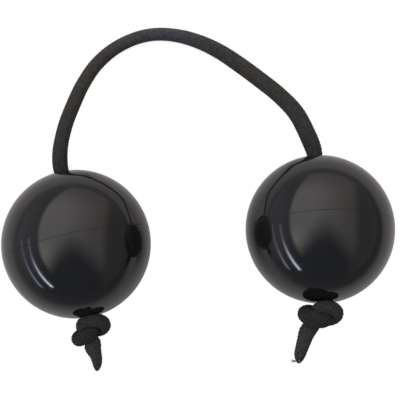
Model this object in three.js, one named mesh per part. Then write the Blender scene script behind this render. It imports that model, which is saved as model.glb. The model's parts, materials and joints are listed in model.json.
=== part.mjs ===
// Kashaka: two hollow rattle balls threaded on one cord, with an overhand knot under each ball.
// Millimetres, +Z up. The object lies on a flat surface at z = 0, X runs from the left ball to the
// right one, and -Y is the side where the knots and their tails stick out.
import * as THREE from 'three';

// Balls: moulded plastic, in two halves that lap at the equator.
const BALL_DIAMETER = 60;
const WALL = 2.2;
const LAP_LENGTH = 2;
const LAP_GAP = 0.3;
const SEAM_GAP = 0.3;
const SEAM_CHAMFER = 0.35;
const BALL_SIDES = 36;
const ARC_STEPS = 9;

// Cord holes, one at each pole, with a thicker rim inside.
const HOLE_CLEARANCE = 0.3;
const HOLE_ROUNDING = 0.8;
const ROUNDING_STEPS = 3;
const RIM_WIDTH = 2;
const RIM_HEIGHT = 1.2;

// Beads that rattle inside, shown as they lie at the bottom of each ball.
const BEAD_DIAMETER = 5;
const BEAD_GAP = 0.3;
const BEADS_IN_RING = [1, 6, 12];

// Cord, and the stretches it bends in.
const CORD_DIAMETER = 5.5;
const CORD_SIDES = 10;
const CORD_STEP = 9;
const FACE_GAP = 0.3;
const BEND_LENGTH = 6;
const BEND_STEPS = 2;
const NECK_STANDOFF = 3;
const KNEE_ALONG = 35;
const SHOULDER_ALONG = 70;
const INNER_STEPS = 4;

// Knots, pulled tight enough to thin the cord. A knot's middle stands off its ball by this many
// strand spacings, so that its nearest strands clear the ball by about a third of a millimetre.
const KNOT_STRAND = 3.2;
const KNOT_GAP = 0.35;
const KNOT_STANDOFF = 1.38;
const KNOT_SIDES = 10;
const KNOT_STEPS = 56;
const THROAT_DIAMETER = 4.2;
const THROAT_LENGTH = 5.5;

// Where the balls lie: how far apart, and how far the left one is nearer the viewer.
const BALL_SPACING = 98.4;
const BALL_STAGGER = 6;

// A ball's axis runs from its knot to where the cord comes out. Its heading is counted from +Y
// towards +X and its slope up from level, both in degrees. A knot is turned about that axis, then
// tilted in the level plane, and then shifted sideways and upward from it. Tail rows are sideways,
// upward, outward and radius, in millimetres, counted from where the axis meets the knot's middle.
const SIDES = [
  {
    name: 'left',
    towards: -1,
    heading: -13,
    slope: -3.6,
    knotTurn: 299,
    knotTilt: -9,
    knotShift: [-1.6, -0.7],
    tail: [
      [-2.2, -0.9, 4.9, 1.7],
      [-2.3, -1.5, 7.3, 2.1],
      [-1.9, -2.2, 10.6, 2],
      [-2, -2.7, 13, 1.8],
      [-2.5, -3, 15.1, 1.3],
      [-2.8, -3.1, 16.2, 0.8],
    ],
  },
  {
    name: 'right',
    towards: 1,
    heading: -2,
    slope: -10,
    knotTurn: 258,
    knotTilt: -27,
    knotShift: [-2.2, 0.1],
    tail: [
      [-6, -0.7, 4.2, 1.7],
      [-7.3, -1.1, 6.5, 2.1],
      [-9, -1.6, 9.7, 2.2],
      [-10.2, -2.2, 12.9, 2.1],
      [-11, -2.6, 15.3, 1.8],
      [-11.4, -3, 17.6, 1],
    ],
  },
];

// The cord's route between the two necks, as it lies: out of the left ball, down to the surface,
// round the crown and up into the right ball.
const CORD_ROUTE = [
  [-57, 36, 26.3],
  [-55.7, 46.5, 22.3],
  [-53.2, 57, 16.3],
  [-49.6, 68.5, 9],
  [-44.4, 78, 4.4],
  [-37, 85, 3],
  [-28, 89.6, 2.8],
  [-19, 91.5, 2.8],
  [-9, 90.8, 2.8],
  [0.5, 88, 2.8],
  [9.5, 83.6, 2.8],
  [18.5, 77.4, 3.2],
  [27, 70, 6.6],
  [34.5, 62.2, 12.4],
  [41, 53.4, 18.4],
  [45, 44.6, 22.4],
];

// Half of an overhand knot, from its middle to where the tail leaves, in strand spacings: across,
// sideways and outward. The other half is this one turned half round the first axis.
const HALF_KNOT = [
  [0.9, 0.9, -0.15],
  [0.4, 1.45, -0.5],
  [-0.4, 1.4, -0.85],
  [-1, 0.8, -0.95],
  [-1.1, 0.05, -0.75],
  [-0.75, -0.45, -0.3],
  [-0.25, -0.5, 0.3],
  [0, -0.35, 0.9],
];
const KNOT_MIDDLE = [1, 0, 0];

const plastic = new THREE.MeshStandardMaterial({ color: 0x0b0b0c, roughness: 0.12, metalness: 0 });
const braid = new THREE.MeshStandardMaterial({ color: 0x1a1b1e, roughness: 0.9, metalness: 0 });
const steel = new THREE.MeshStandardMaterial({ color: 0x9a9da0, roughness: 0.3, metalness: 1 });

const ballRadius = BALL_DIAMETER / 2;
const innerRadius = ballRadius - WALL;
const holeRadius = CORD_DIAMETER / 2 + HOLE_CLEARANCE;
const rimRadius = holeRadius + RIM_WIDTH;
const seamHalf = SEAM_GAP / 2;
const restHeight = ballRadius * Math.cos(Math.PI / BALL_SIDES);

function heightOnSphere(radius, fromAxis) {
  return Math.sqrt(radius * radius - fromAxis * fromAxis);
}

// Points of a sphere's meridian between two heights above the equator.
function meridian(radius, fromHeight, toHeight, steps) {
  const start = Math.asin(fromHeight / radius);
  const end = Math.asin(toHeight / radius);
  const points = [];
  for (let i = 0; i <= steps; i += 1) {
    const angle = start + ((end - start) * i) / steps;
    points.push(new THREE.Vector2(radius * Math.cos(angle), radius * Math.sin(angle)));
  }
  return points;
}

// The hole's outer edge, rounded from the sphere down into the hole.
function roundedMouth() {
  const edge = holeRadius + HOLE_ROUNDING;
  const centre = new THREE.Vector2(edge, heightOnSphere(ballRadius, edge) - HOLE_ROUNDING);
  const points = [];
  for (let i = 1; i <= ROUNDING_STEPS; i += 1) {
    const angle = Math.PI / 2 + ((Math.PI / 2) * i) / ROUNDING_STEPS;
    const x = centre.x + HOLE_ROUNDING * Math.cos(angle);
    points.push(new THREE.Vector2(x, centre.y + HOLE_ROUNDING * Math.sin(angle)));
  }
  return points;
}

// The pole end that both halves share, from the sphere's outside to its inside.
function poleProfile(outerStart, innerEnd) {
  const rimFoot = heightOnSphere(innerRadius, rimRadius);
  return [
    ...meridian(ballRadius, outerStart, heightOnSphere(ballRadius, holeRadius + HOLE_ROUNDING), ARC_STEPS),
    ...roundedMouth(),
    new THREE.Vector2(holeRadius, rimFoot - RIM_HEIGHT),
    new THREE.Vector2(rimRadius, rimFoot - RIM_HEIGHT),
    ...meridian(innerRadius, rimFoot, innerEnd, ARC_STEPS),
  ];
}

const lapMiddle = innerRadius + (WALL - LAP_GAP) / 2;
const lapTop = seamHalf + LAP_LENGTH;
const recessTop = lapTop + LAP_GAP;
const seamEdge = seamHalf + SEAM_CHAMFER;

// The half at the cord's end has a recess inside its rim.
function recessedHalf() {
  return [
    new THREE.Vector2(lapMiddle + LAP_GAP, seamHalf),
    new THREE.Vector2(ballRadius - SEAM_CHAMFER, seamHalf),
    ...poleProfile(seamEdge, recessTop),
    new THREE.Vector2(lapMiddle + LAP_GAP, recessTop),
  ];
}

// The half at the knot's end has a lip that stands up into that recess.
function lippedHalf() {
  const lipInside = heightOnSphere(innerRadius, lapTop);
  return [
    new THREE.Vector2(lapMiddle, seamHalf),
    new THREE.Vector2(ballRadius - SEAM_CHAMFER, seamHalf),
    ...poleProfile(seamEdge, 0),
    new THREE.Vector2(lipInside, -lapTop),
    new THREE.Vector2(lapMiddle, -lapTop),
  ];
}

// A profile turned about the ball's axis. A facet, not an edge, is turned to the bottom.
function turned(profile, mirrored) {
  const outline = mirrored ? profile.map((p) => new THREE.Vector2(p.x, -p.y)).reverse() : [...profile];
  outline.push(outline[0].clone());
  return new THREE.LatheGeometry(outline, BALL_SIDES, Math.PI / BALL_SIDES, Math.PI * 2);
}

function roundSection(diameter, sides) {
  const points = [];
  for (let i = 0; i < sides; i += 1) {
    const angle = (i / sides) * Math.PI * 2;
    points.push(new THREE.Vector2(Math.cos(angle), Math.sin(angle)).multiplyScalar(diameter / 2));
  }
  return new THREE.Shape(points);
}

// The part of a longer curve between two distances along it.
class Stretch extends THREE.Curve {
  constructor(whole, from, to) {
    super();
    this.whole = whole;
    this.from = from / whole.getLength();
    this.to = to / whole.getLength();
  }

  getPoint(t, target = new THREE.Vector3()) {
    return this.whole.getPointAt(THREE.MathUtils.lerp(this.from, this.to, t), target);
  }
}

function cordTube(path, steps) {
  const section = roundSection(CORD_DIAMETER, CORD_SIDES);
  return new THREE.ExtrudeGeometry(section, { steps, extrudePath: path });
}

// A closed tube whose radius changes along its path.
function taperedTube(rows, steps, sides) {
  const path = new THREE.CatmullRomCurve3(rows.map((row) => row.point));
  const frames = path.computeFrenetFrames(steps, false);
  const vertices = [];
  const rings = [];
  for (let i = 0; i <= steps; i += 1) {
    const place = path.getUtoTmapping(i / steps) * (rows.length - 1);
    const before = Math.min(Math.floor(place), rows.length - 2);
    const radius = THREE.MathUtils.lerp(rows[before].radius, rows[before + 1].radius, place - before);
    const centre = path.getPointAt(i / steps);
    rings.push({ centre, radius });
    for (let j = 0; j < sides; j += 1) {
      const angle = (j / sides) * Math.PI * 2;
      const across = frames.normals[i].clone().multiplyScalar(Math.cos(angle) * radius);
      const along = frames.binormals[i].clone().multiplyScalar(Math.sin(angle) * radius);
      vertices.push(centre.clone().add(across).add(along));
    }
  }
  const faces = [];
  for (let i = 0; i < steps; i += 1) {
    for (let j = 0; j < sides; j += 1) {
      const a = i * sides + j;
      const b = i * sides + ((j + 1) % sides);
      faces.push(a, b, a + sides, b, b + sides, a + sides);
    }
  }
  const last = steps * sides;
  for (let j = 1; j < sides - 1; j += 1) {
    faces.push(0, j + 1, j, last, last + j, last + j + 1);
  }
  const geometry = new THREE.BufferGeometry().setFromPoints(vertices);
  geometry.setIndex(faces);
  geometry.computeVertexNormals();
  return { geometry, rings, length: path.getLength() };
}

// The least clear distance between two strands of one tube that aren't neighbours along it.
function leastSelfGap({ rings, length }) {
  const apart = (KNOT_STRAND * 1.7 * (rings.length - 1)) / length;
  let least = Infinity;
  for (let i = 0; i < rings.length; i += 1) {
    for (let j = i + Math.ceil(apart); j < rings.length; j += 1) {
      const between = rings[i].centre.distanceTo(rings[j].centre);
      least = Math.min(least, between - rings[i].radius - rings[j].radius);
    }
  }
  return least;
}

const spacing = KNOT_STRAND + KNOT_GAP;
const knotMiddle = ballRadius + KNOT_STANDOFF * spacing;
const throatStart = ballRadius - THROAT_LENGTH;

// The knot and its tail, in the ball's own frame: +Y is the axis towards the cord's way out.
function knotRows(side) {
  const turn = THREE.MathUtils.degToRad(side.knotTurn);
  const tilt = THREE.MathUtils.degToRad(side.knotTilt);
  const [shiftSideways, shiftUpward] = side.knotShift;
  const inKnot = ([across, sideways, outward]) => ({
    point: new THREE.Vector3(across, -outward, sideways)
      .multiplyScalar(spacing)
      .applyAxisAngle(new THREE.Vector3(0, 1, 0), -turn)
      .applyAxisAngle(new THREE.Vector3(0, 0, 1), tilt)
      .add(new THREE.Vector3(shiftSideways, -knotMiddle, shiftUpward)),
    radius: KNOT_STRAND / 2,
  });
  const inThroat = (outward) => ({
    point: new THREE.Vector3(0, -outward, 0),
    radius: THROAT_DIAMETER / 2,
  });
  const inTail = ([sideways, upward, outward, radius]) => ({
    point: new THREE.Vector3(sideways, -knotMiddle - outward, upward),
    radius,
  });
  const otherHalf = [...HALF_KNOT].reverse().map(([across, sideways, outward]) => [across, -sideways, -outward]);
  return [
    inThroat(throatStart),
    inThroat((throatStart + ballRadius) / 2),
    inThroat(ballRadius - HOLE_ROUNDING),
    ...[...otherHalf, KNOT_MIDDLE, ...HALF_KNOT].map(inKnot),
    ...side.tail.map(inTail),
  ];
}

// Beads lie in rings round the lowest point of the inner wall, which facets bring a little nearer.
function beadPlaces() {
  const beadRadius = BEAD_DIAMETER / 2;
  const facetedRadius = innerRadius * Math.cos(Math.PI / BALL_SIDES) * Math.cos(Math.PI / 4 / ARC_STEPS);
  const reach = facetedRadius - beadRadius - BEAD_GAP;
  const ringStep = 2 * Math.asin((BEAD_DIAMETER + BEAD_GAP) / 2 / reach);
  const places = [];
  BEADS_IN_RING.forEach((count, ring) => {
    for (let i = 0; i < count; i += 1) {
      const place = new THREE.Vector3(0, 0, -reach).applyAxisAngle(new THREE.Vector3(1, 0, 0), ring * ringStep);
      places.push(place.applyAxisAngle(new THREE.Vector3(0, 0, 1), (i / count) * Math.PI * 2));
    }
  });
  return places;
}

function named(name, geometry, material) {
  const mesh = new THREE.Mesh(geometry, material);
  mesh.name = name;
  return mesh;
}

function ballAxis(side) {
  const heading = THREE.MathUtils.degToRad(side.heading);
  const slope = THREE.MathUtils.degToRad(side.slope);
  const level = Math.cos(slope);
  return new THREE.Vector3(Math.sin(heading) * level, Math.cos(heading) * level, Math.sin(slope));
}

function ballCentre(side) {
  return new THREE.Vector3((side.towards * BALL_SPACING) / 2, (side.towards * BALL_STAGGER) / 2, restHeight);
}

// A frame whose +Y is the ball's axis and whose +X stays level.
function ballTurn(side) {
  const axis = ballAxis(side);
  const level = new THREE.Vector3(axis.y, -axis.x, 0).normalize();
  const basis = new THREE.Matrix4().makeBasis(level, axis, level.clone().cross(axis));
  return new THREE.Quaternion().setFromRotationMatrix(basis);
}

function makeBall(side) {
  const group = new THREE.Group();
  const threaded = new THREE.LineCurve3(
    new THREE.Vector3(0, ballRadius + NECK_STANDOFF - BEND_LENGTH / 2 - FACE_GAP, 0),
    new THREE.Vector3(0, -throatStart + FACE_GAP, 0),
  );
  const knot = taperedTube(knotRows(side), KNOT_STEPS, KNOT_SIDES);
  console.log(`${side.name} knot: ${knot.length.toFixed(1)} mm of cord, least gap to itself`,
    `${leastSelfGap(knot).toFixed(2)} mm`);
  group.add(named(`${side.name}_cord_side_shell`, turned(recessedHalf(), false), plastic));
  group.add(named(`${side.name}_knot_side_shell`, turned(lippedHalf(), true), plastic));
  group.add(named(`${side.name}_cord_in_ball`, cordTube(threaded, INNER_STEPS), braid));
  group.add(named(`${side.name}_knot`, knot.geometry, braid));
  group.quaternion.copy(ballTurn(side));
  group.position.copy(ballCentre(side));
  return group;
}

function makeBeads(side) {
  const group = new THREE.Group();
  beadPlaces().forEach((place, index) => {
    const bead = named(
      `${side.name}_bead_${String(index + 1).padStart(2, '0')}`,
      new THREE.IcosahedronGeometry(BEAD_DIAMETER / 2, 1),
      steel,
    );
    bead.position.copy(place);
    group.add(bead);
  });
  group.position.copy(ballCentre(side));
  return group;
}

// The neck is where the cord first bends outside a ball.
function neck(side) {
  return ballCentre(side).addScaledVector(ballAxis(side), ballRadius + NECK_STANDOFF);
}

function neckEnd(side) {
  return neck(side).addScaledVector(ballAxis(side), -BEND_LENGTH / 2);
}

function makeCord() {
  const [left, right] = SIDES;
  const route = new THREE.CatmullRomCurve3([
    neckEnd(left),
    neck(left),
    ...CORD_ROUTE.map((row) => new THREE.Vector3(...row)),
    neck(right),
    neckEnd(right),
  ]);
  route.arcLengthDivisions = 800;
  const length = route.getLength();
  const half = BEND_LENGTH / 2;
  const group = new THREE.Group();
  const addStretch = (name, from, to) => {
    const steps = Math.max(BEND_STEPS, Math.round((to - from) / CORD_STEP));
    group.add(named(name, cordTube(new Stretch(route, from, to), steps), braid));
  };
  const addSide = (side, place) => {
    const between = (name, near, far) => {
      const ends = [place(near), place(far)].sort((a, b) => a - b);
      addStretch(`${side.name}_cord_${name}`, ends[0], ends[1]);
    };
    const knee = half + KNEE_ALONG;
    const shoulder = half + SHOULDER_ALONG;
    between('neck', 0, BEND_LENGTH);
    between('lower', BEND_LENGTH + FACE_GAP, knee - half - FACE_GAP);
    between('knee', knee - half, knee + half);
    between('upper', knee + half + FACE_GAP, shoulder - half - FACE_GAP);
    between('shoulder', shoulder - half, shoulder + half);
  };
  addSide(left, (along) => along);
  addSide(right, (along) => length - along);
  const crownStart = SHOULDER_ALONG + BEND_LENGTH + FACE_GAP;
  addStretch('cord_crown', crownStart, length - crownStart);
  for (const [side, place] of [[left, (s) => s], [right, (s) => length - s]]) {
    for (const [name, along] of [['neck', half], ['knee', half + KNEE_ALONG], ['shoulder', half + SHOULDER_ALONG]]) {
      const at = route.getPointAt(place(along) / length);
      const way = route.getTangentAt(place(along) / length);
      console.log(side.name, name, at.toArray().map((v) => v.toFixed(2)).join(' '),
        'way', way.toArray().map((v) => v.toFixed(3)).join(' '));
    }
  }
  console.log(`cord between the necks: ${(length - BEND_LENGTH).toFixed(1)} mm`);
  return group;
}

const kashaka = new THREE.Group();
kashaka.add(makeCord());
for (const side of SIDES) {
  kashaka.add(makeBall(side), makeBeads(side));
}

export default kashaka;
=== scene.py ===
# %% [markdown]
# # Dressing a kashaka
# A kashaka is a pair of hollow rattle balls on one braided cord, with an overhand knot under each
# ball. The packed part already has every size and every joint. This notebook adds what a camera
# sees: smooth moulded shells, a cord braided from single yarns, tight knots and cut ends.

# %% Load the packed part
import json
import math

import bmesh
import bpy
import numpy as np
from mathutils import Matrix, Vector, noise


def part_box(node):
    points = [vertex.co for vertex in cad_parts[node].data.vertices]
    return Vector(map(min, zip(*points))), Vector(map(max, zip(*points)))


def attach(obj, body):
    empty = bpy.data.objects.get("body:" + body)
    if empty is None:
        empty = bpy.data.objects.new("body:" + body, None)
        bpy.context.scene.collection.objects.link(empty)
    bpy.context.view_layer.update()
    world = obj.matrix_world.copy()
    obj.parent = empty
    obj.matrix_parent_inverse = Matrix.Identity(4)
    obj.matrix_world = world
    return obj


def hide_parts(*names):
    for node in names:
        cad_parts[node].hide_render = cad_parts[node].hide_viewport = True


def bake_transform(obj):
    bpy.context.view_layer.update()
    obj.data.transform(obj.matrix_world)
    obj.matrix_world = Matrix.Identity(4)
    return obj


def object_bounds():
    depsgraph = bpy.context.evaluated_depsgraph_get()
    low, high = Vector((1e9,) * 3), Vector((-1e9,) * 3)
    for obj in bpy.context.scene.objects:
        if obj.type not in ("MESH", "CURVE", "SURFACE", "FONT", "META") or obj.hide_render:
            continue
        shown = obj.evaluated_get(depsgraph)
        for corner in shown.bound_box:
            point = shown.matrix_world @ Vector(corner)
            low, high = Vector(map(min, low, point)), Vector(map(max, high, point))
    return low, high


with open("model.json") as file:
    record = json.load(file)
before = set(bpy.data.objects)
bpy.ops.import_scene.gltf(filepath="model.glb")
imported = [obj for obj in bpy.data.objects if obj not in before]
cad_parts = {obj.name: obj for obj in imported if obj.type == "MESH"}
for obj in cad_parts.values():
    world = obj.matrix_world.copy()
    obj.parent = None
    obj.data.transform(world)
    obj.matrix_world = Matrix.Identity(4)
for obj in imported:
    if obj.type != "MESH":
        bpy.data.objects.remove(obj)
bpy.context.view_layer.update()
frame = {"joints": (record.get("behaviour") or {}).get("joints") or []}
JOINTS = {joint["name"]: joint for joint in frame["joints"]}
SIDES = ("left", "right")
MM = 0.001
print("joints:", ", ".join(JOINTS))

# %% [markdown]
# The photograph looks almost straight down on the object, which lies on a pale surface. The camera
# stands about 0.42 m above it and leans 6 degrees, so that it sees a little of the knots' side.
# The balls' measured places in the picture give its place and its field of view.

# %% Camera
CAMERA_PLACE = (0.7 * MM, -25.9 * MM, 417.7 * MM)
CAMERA_LEAN = math.radians(6)
CAMERA_FIELD = math.radians(23.56)


def add_object(name, data):
    thing = bpy.data.objects.new(name, data)
    bpy.context.scene.collection.objects.link(thing)
    return thing


def make_camera():
    data = bpy.data.cameras.new("camera")
    data.sensor_fit = "HORIZONTAL"
    data.angle = CAMERA_FIELD
    camera = add_object("camera", data)
    camera.location = CAMERA_PLACE
    camera.rotation_euler = (CAMERA_LEAN, 0, 0)
    bpy.context.scene.camera = camera
    return camera


print("camera field:", round(math.degrees(make_camera().data.angle), 2), "degrees")

# %% [markdown]
# The cord is one length from cut end to cut end: tail, knot, ball, neck, the arch over the crown,
# and the same again. Everything on it is placed by one line of points. A ball's own frame makes
# the points near it easy to say: x is level, y is the ball's axis towards the cord's way out, and
# z is square to both.

# %% Each ball's own frame
BALL_RADIUS = 30 * MM
NECK_STANDOFF = 3 * MM


def unit(vector):
    return np.array(vector, float) / np.linalg.norm(vector)


def ball_frame(side):
    """The ball's centre, and its level, along and upright directions as rows."""
    spin = JOINTS[f"{side}_ball_spin"]
    along = unit(spin["axis"])
    level = unit((along[1], -along[0], 0))
    return np.array(spin["pos_m"]), np.array([level, along, np.cross(level, along)])


def placed(side, points):
    """Points in the ball's frame, carried to the object's frame."""
    centre, directions = ball_frame(side)
    return centre + np.array(points, float) @ directions


for side in SIDES:
    print(side, "ball centre:", np.round(ball_frame(side)[0] / MM, 1), "mm")

# %% [markdown]
# The cord's route over the surface is a short list of points, chosen where the cord lies in the
# photograph: out of the left ball, down to the surface, round the crown and up again.

# %% The route between the balls
ROUTE_MM = [
    (-57, 36, 26.3),
    (-55.7, 46.5, 22.3),
    (-53.2, 57, 16.3),
    (-49.6, 68.5, 9),
    (-44.4, 78, 4.4),
    (-37, 85, 3),
    (-28, 89.6, 2.8),
    (-19, 91.5, 2.8),
    (-9, 90.8, 2.8),
    (0.5, 88, 2.8),
    (9.5, 83.6, 2.8),
    (18.5, 77.4, 3.2),
    (27, 70, 6.6),
    (34.5, 62.2, 12.4),
    (41, 53.4, 18.4),
    (44.9, 44.6, 22.4),
]
print("route points:", len(ROUTE_MM))

# %% [markdown]
# An overhand knot is a loop with one end passed through it. It looks the same when it is turned
# half round one line, so half of it is enough: eight points, counted in strand spacings, across,
# sideways and outward from the ball. Each knot is then turned about the ball's axis, tilted, and
# shifted a little off that axis. The tail behind it tapers to its cut end.

# %% The knots' shape
HALF_KNOT = [
    (0.9, 0.9, -0.15),
    (0.4, 1.45, -0.5),
    (-0.4, 1.4, -0.85),
    (-1, 0.8, -0.95),
    (-1.1, 0.05, -0.75),
    (-0.75, -0.45, -0.3),
    (-0.25, -0.5, 0.3),
    (0, -0.35, 0.9),
]
KNOT_MIDDLE = (1, 0, 0)
STRAND_SPACING = 3.55 * MM
KNOT_DISTANCE = 34.9 * MM
KNOT_TURN = {"left": math.radians(299), "right": math.radians(258)}
KNOT_TILT = {"left": math.radians(-9), "right": math.radians(-27)}
KNOT_SHIFT = {"left": (-1.6 * MM, -0.7 * MM), "right": (-2.2 * MM, 0.1 * MM)}
# Distances from the ball's centre: the cord's points inside it, and from there to the knot.
IN_BALL = (10 * MM, 20 * MM)
THROAT = (24.5 * MM, 27.25 * MM, 29.2 * MM)
# Sideways, upward and outward from where the ball's axis meets the knot's middle.
TAILS_MM = {
    "left": [
        (-2.2, -0.9, 4.9),
        (-2.3, -1.5, 7.3),
        (-1.9, -2.2, 10.6),
        (-2, -2.7, 13),
        (-2.5, -3, 15.1),
        (-2.8, -3.1, 16.2),
    ],
    "right": [
        (-6, -0.7, 4.2),
        (-7.7, -1.1, 6.5),
        (-9, -1.6, 9.7),
        (-10.2, -2.2, 12.9),
        (-11, -2.6, 15.3),
        (-11.6, -3, 18.3),
    ],
}
print("points on a knot:", 2 * len(HALF_KNOT) + 1)

# %% [markdown]
# All points are then put in one order: from the left cut end through its knot and ball, along the
# route, and through the right ball and its knot to the right cut end. The second half of a knot is
# the first half in reverse, turned half round.

# %% All points of the cord
def knot_points(side):
    """From inside the ball, out through its hole, round the knot and along the tail."""
    shift_sideways, shift_upward = KNOT_SHIFT[side]
    set_down = (
        Matrix.Translation((shift_sideways, -KNOT_DISTANCE, shift_upward))
        @ Matrix.Rotation(KNOT_TILT[side], 4, "Z")
        @ Matrix.Rotation(-KNOT_TURN[side], 4, "Y")
        @ Matrix.Scale(STRAND_SPACING, 4)
    )
    other_half = [(across, -sideways, -outward) for across, sideways, outward in reversed(HALF_KNOT)]
    points = [(0, -distance, 0) for distance in (*IN_BALL, *THROAT)]
    for across, sideways, outward in [*other_half, KNOT_MIDDLE, *HALF_KNOT]:
        points.append(tuple(set_down @ Vector((across, -outward, sideways))))
    for sideways, upward, outward in TAILS_MM[side]:
        points.append((sideways * MM, -KNOT_DISTANCE - outward * MM, upward * MM))
    return placed(side, points)


def neck_points(side):
    """The straight run from inside the ball to the neck, where the cord first bends."""
    run = (*IN_BALL, BALL_RADIUS, BALL_RADIUS + NECK_STANDOFF)
    return placed(side, [(0, distance, 0) for distance in run])


ROUTE = np.array(ROUTE_MM) * MM
CORD_POINTS = np.concatenate(
    [
        knot_points("left")[::-1],
        neck_points("left"),
        ROUTE,
        neck_points("right")[::-1],
        knot_points("right"),
    ]
)
print("points on the whole cord:", len(CORD_POINTS))

# %% [markdown]
# A centripetal spline goes through every point without loops or cusps, even where the points are
# unevenly spaced, as they are between a knot and the long arch. It is sampled finely here, and
# every later step counts in metres along it.

# %% A smooth line through the points
def between(first, second, start, end, at):
    """A value that is the first at the start and the second at the end."""
    return ((end - at) * first + (at - start) * second) / (end - start)


def spline(points, steps=60):
    """A centripetal Catmull-Rom spline, as many fine points."""
    points = np.vstack([2 * points[0] - points[1], points, 2 * points[-1] - points[-2]])
    line = []
    for p0, p1, p2, p3 in zip(points, points[1:], points[2:], points[3:]):
        spans = [math.sqrt(np.linalg.norm(b - a)) for a, b in ((p0, p1), (p1, p2), (p2, p3))]
        t0, t1, t2, t3 = np.cumsum([0, *spans])
        at = np.linspace(t1, t2, steps, endpoint=False)[:, None]
        a1 = between(p0, p1, t0, t1, at)
        a2 = between(p1, p2, t1, t2, at)
        a3 = between(p2, p3, t2, t3, at)
        b1 = between(a1, a2, t0, t2, at)
        b2 = between(a2, a3, t1, t3, at)
        line.append(between(b1, b2, t1, t2, at))
    return np.vstack([*line, points[-2]])


def distances(line):
    return np.concatenate([[0], np.cumsum(np.linalg.norm(np.diff(line, axis=0), axis=1))])


def along_line(line, at):
    """Points of the line at these distances from its start."""
    measured = distances(line)
    return np.stack([np.interp(at, measured, line[:, k]) for k in range(3)], axis=1)


CORD_LINE = spline(CORD_POINTS)
CORD_LENGTH = distances(CORD_LINE)[-1]
print(f"cord from end to end: {CORD_LENGTH / MM:.0f} mm")

# %% [markdown]
# The part bends at a neck, a knee and a shoulder on each side. A piece can bend over one joint
# only, so the cord is drawn as six stretches that meet midway between two joints, where both
# ride on the same body. Here are those places, in metres along the cord.

# %% Where the stretches meet
KNEE_FROM_NECK = 35 * MM
HALF_KNEE_REACH = KNEE_FROM_NECK / 2


def distance_of(place):
    nearest = np.linalg.norm(CORD_LINE - np.array(place), axis=1).argmin()
    return distances(CORD_LINE)[nearest]


NECK = {side: distance_of(JOINTS[f"{side}_neck_tilt"]["pos_m"]) for side in SIDES}
TOWARDS_CROWN = {"left": 1, "right": -1}


def from_neck(side, distance):
    return NECK[side] + TOWARDS_CROWN[side] * distance


CROWN = (NECK["left"] + NECK["right"]) / 2
STRETCHES = {}
for side, tip in (("left", 0), ("right", CORD_LENGTH)):
    below_knee = from_neck(side, HALF_KNEE_REACH)
    above_knee = from_neck(side, KNEE_FROM_NECK + HALF_KNEE_REACH)
    STRETCHES[f"{side}_stem"] = sorted((tip, below_knee))
    STRETCHES[f"{side}_knee"] = sorted((below_knee, above_knee))
    STRETCHES[f"{side}_shoulder"] = sorted((above_knee, CROWN))
for name, (start, end) in STRETCHES.items():
    print(f"{name}: {start / MM:.1f} to {end / MM:.1f} mm")

# %% [markdown]
# Round every point of the line goes a ring of the cord's skin. Rings need directions square to
# the line that don't twist: each ring's directions are the last ring's, turned only as much as
# the line itself turns. A ring lies exactly on every place where two stretches meet.

# %% Rings along the cord
RING_STEP = 0.55 * MM
RING_SIDES = 48


def ring_places():
    ends = sorted({value for stretch in STRETCHES.values() for value in stretch})
    places = [0.0]
    for start, end in zip(ends, ends[1:]):
        count = math.ceil((end - start) / RING_STEP)
        places += list(np.linspace(start, end, count + 1)[1:])
    return np.array(places)


def untwisted(line):
    """The line's directions, and a direction across it that turns as little as it can."""
    way = np.gradient(line, axis=0)
    way /= np.linalg.norm(way, axis=1)[:, None]
    across = [unit(np.cross(way[0], (0, 0, 1)))]
    for before, after in zip(way, way[1:]):
        axis = np.cross(before, after)
        turned = across[-1] + np.cross(axis, across[-1])
        turned += np.cross(axis, np.cross(axis, across[-1])) / (1 + before @ after)
        across.append(unit(turned - (turned @ after) * after))
    return way, np.array(across)


PLACES = ring_places()
CENTRES = along_line(CORD_LINE, PLACES)
WAY, ACROSS = untwisted(CENTRES)
ASIDE = np.cross(WAY, ACROSS)
ANGLES = (np.arange(RING_SIDES) / RING_SIDES * 2 * math.pi)[:, None]
SPOKES = np.cos(ANGLES) * ACROSS[:, None] + np.sin(ANGLES) * ASIDE[:, None]
print("rings:", len(PLACES))

# %% [markdown]
# Worn braid isn't round. It lies a little flat, and the flat side turns along the cord: in the
# photograph the right leg shows its broad side and the crown its narrow one. Inside a hole the
# cord is squeezed round, in a knot it is pulled thin, and at a cut end it comes to a tip.

# %% The cord's sections
HALF_WIDTH = 3.3 * MM
HALF_THICKNESS = 2.52 * MM
IN_HOLE = 2.8 * MM
# The cord takes its full section over this distance from the hole.
LOOSENS_OVER = 7 * MM
# A place this far under the ball's surface has the section that the hole gives it.
UNDER_SURFACE = 0.5 * MM
KNOT_STRAND = {"left": 2.75 * MM, "right": 3.0 * MM}
# Distance from the neck towards the crown, and the angle between the flat side and level.
FLAT_TURN = {
    "left": [(0, 35), (12, 48), (35, 42), (60, 52), (92, 90)],
    "right": [(0, 8), (12, 2), (35, 5), (60, 28), (92, 90)],
}
# Distance from the cut end, and the half width and half thickness there, all in millimetres.
TAIL_SECTIONS = {
    "left": [
        (0, 0.5, 0.5),
        (1.2, 1.3, 1.2),
        (3.6, 1.9, 1.7),
        (6, 2.2, 2),
        (9.4, 3.1, 2.4),
        (12, 3.2, 2.7),
    ],
    "right": [
        (0, 0.4, 0.4),
        (0.9, 1.15, 1),
        (2, 1.7, 1.5),
        (3.6, 2.15, 1.9),
        (9.1, 2.6, 2.4),
        (12.6, 3, 2.7),
    ],
}
# After the tail's last section, this many millimetres lead over to the knot's strand.
INTO_KNOT = 6
print(f"free cord: {2 * HALF_WIDTH / MM:.1f} by {2 * HALF_THICKNESS / MM:.1f} mm")

# %% [markdown]
# A ring's section follows from its place. Each table above is read with straight lines between its
# rows, so the section changes smoothly from the hole's round to the flat braid, and from the
# knot's strand over the tail to the tip.

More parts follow.
